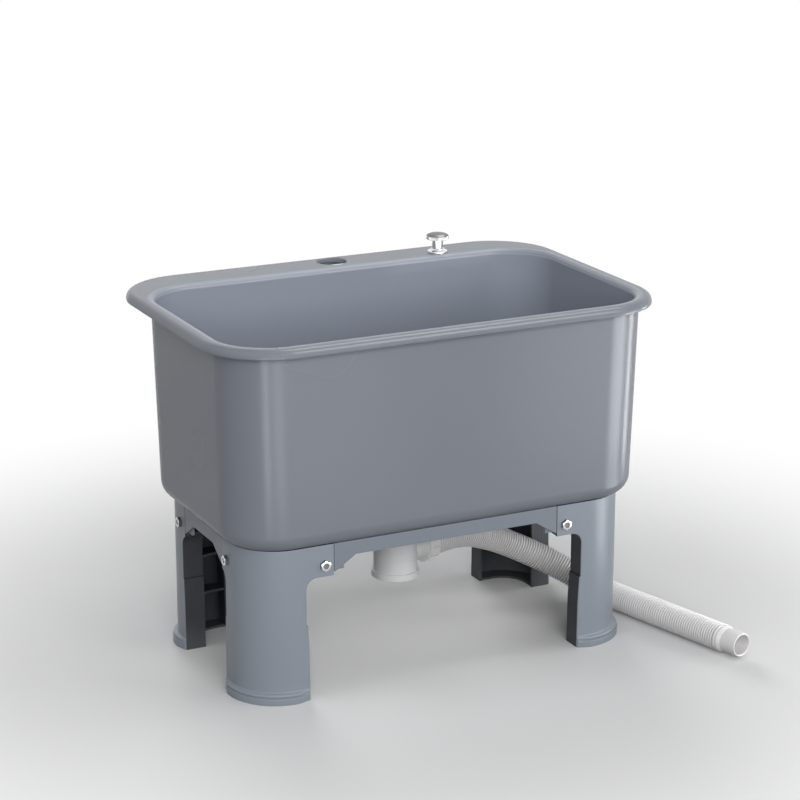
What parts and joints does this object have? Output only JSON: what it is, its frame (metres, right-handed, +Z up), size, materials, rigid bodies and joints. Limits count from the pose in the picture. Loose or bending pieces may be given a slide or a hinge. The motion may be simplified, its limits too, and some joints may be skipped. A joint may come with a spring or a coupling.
{
  "type": "mop sink",
  "caption": "Free-standing rectangular mop sink: deep moulded tub with a tap deck and lift-knob drain, on a bolted four-leg stand, with a ribbed drain hose.",
  "frame": {"origin": "on the floor under the middle of the rim, without the drain hose and its connector", "axes": "+X to the right along the rim's long side, +Y to the rear with the tap deck, +Z up"},
  "size_m": [0.5576, 0.4128, 0.399],
  "materials": {
    "tub": "satin-gloss moulded blue-grey plastic",
    "stand": "satin moulded blue-grey plastic, a little lighter than the tub",
    "bright_metal": "polished chrome plate",
    "drain_metal": "satin stainless steel",
    "seal_rubber": "matt black rubber",
    "fitting_plastic": "off-white moulded plastic",
    "lever_brass": "turned brass",
    "cable_sheath": "black plastic cable sheath",
    "hose_plastic": "off-white flexible ribbed plastic"
  },
  "bodies": {
    "root": {"basin": "tub", "leg_front_left": "stand", "leg_front_right": "stand", "leg_rear_left": "stand", "leg_rear_right": "stand", "apron_front": "stand", "apron_rear": "stand", "apron_left": "stand", "apron_right": "stand", "frame_bolts": "bright_metal", "frame_washers": "bright_metal", "frame_nuts": "bright_metal", "drain_flange": "drain_metal", "drain_gasket_upper": "seal_rubber", "drain_gasket_lower": "seal_rubber", "drain_lock_nut": "fitting_plastic", "drain_seal": "seal_rubber", "drain_body": "fitting_plastic", "lever_pin": "lever_brass", "knob_collar": "bright_metal", "knob_washer": "seal_rubber", "knob_nut": "bright_metal", "cable_ferrule": "bright_metal", "control_cable": "cable_sheath", "cable_gland": "fitting_plastic", "hose_washer": "seal_rubber", "hose_nut": "hose_plastic", "drain_hose": "hose_plastic", "hose_connector": "hose_plastic"},
    "knob": {"knob_cap": "bright_metal", "knob_stem": "bright_metal"},
    "stopper": {"stopper_cap": "drain_metal", "stopper_seal": "seal_rubber", "stopper_stem": "drain_metal"},
    "lever": {"lift_lever": "lever_brass"}
  },
  "joints": [
    {"name": "knob_lift", "type": "slide", "parent": "root", "child": "knob", "axis": [0, 0, 1], "range_m": [-0.01, 0]},
    {"name": "stopper_lift", "type": "slide", "parent": "root", "child": "stopper", "axis": [0, 0, 1], "range_m": [-0.00972, 0]},
    {"name": "lever_swing", "type": "hinge", "parent": "root", "child": "lever", "pos_m": [0.00773, -0.00682, 0.112], "axis": [-0.765, 0.644, 0], "range_deg": [-47.76, 0]}
  ],
  "couplings": [
    {"joint": "stopper_lift", "follows": "knob_lift", "ratio": 0.9713},
    {"joint": "lever_swing", "follows": "knob_lift", "rad_per_m": 83.333}
  ]
}
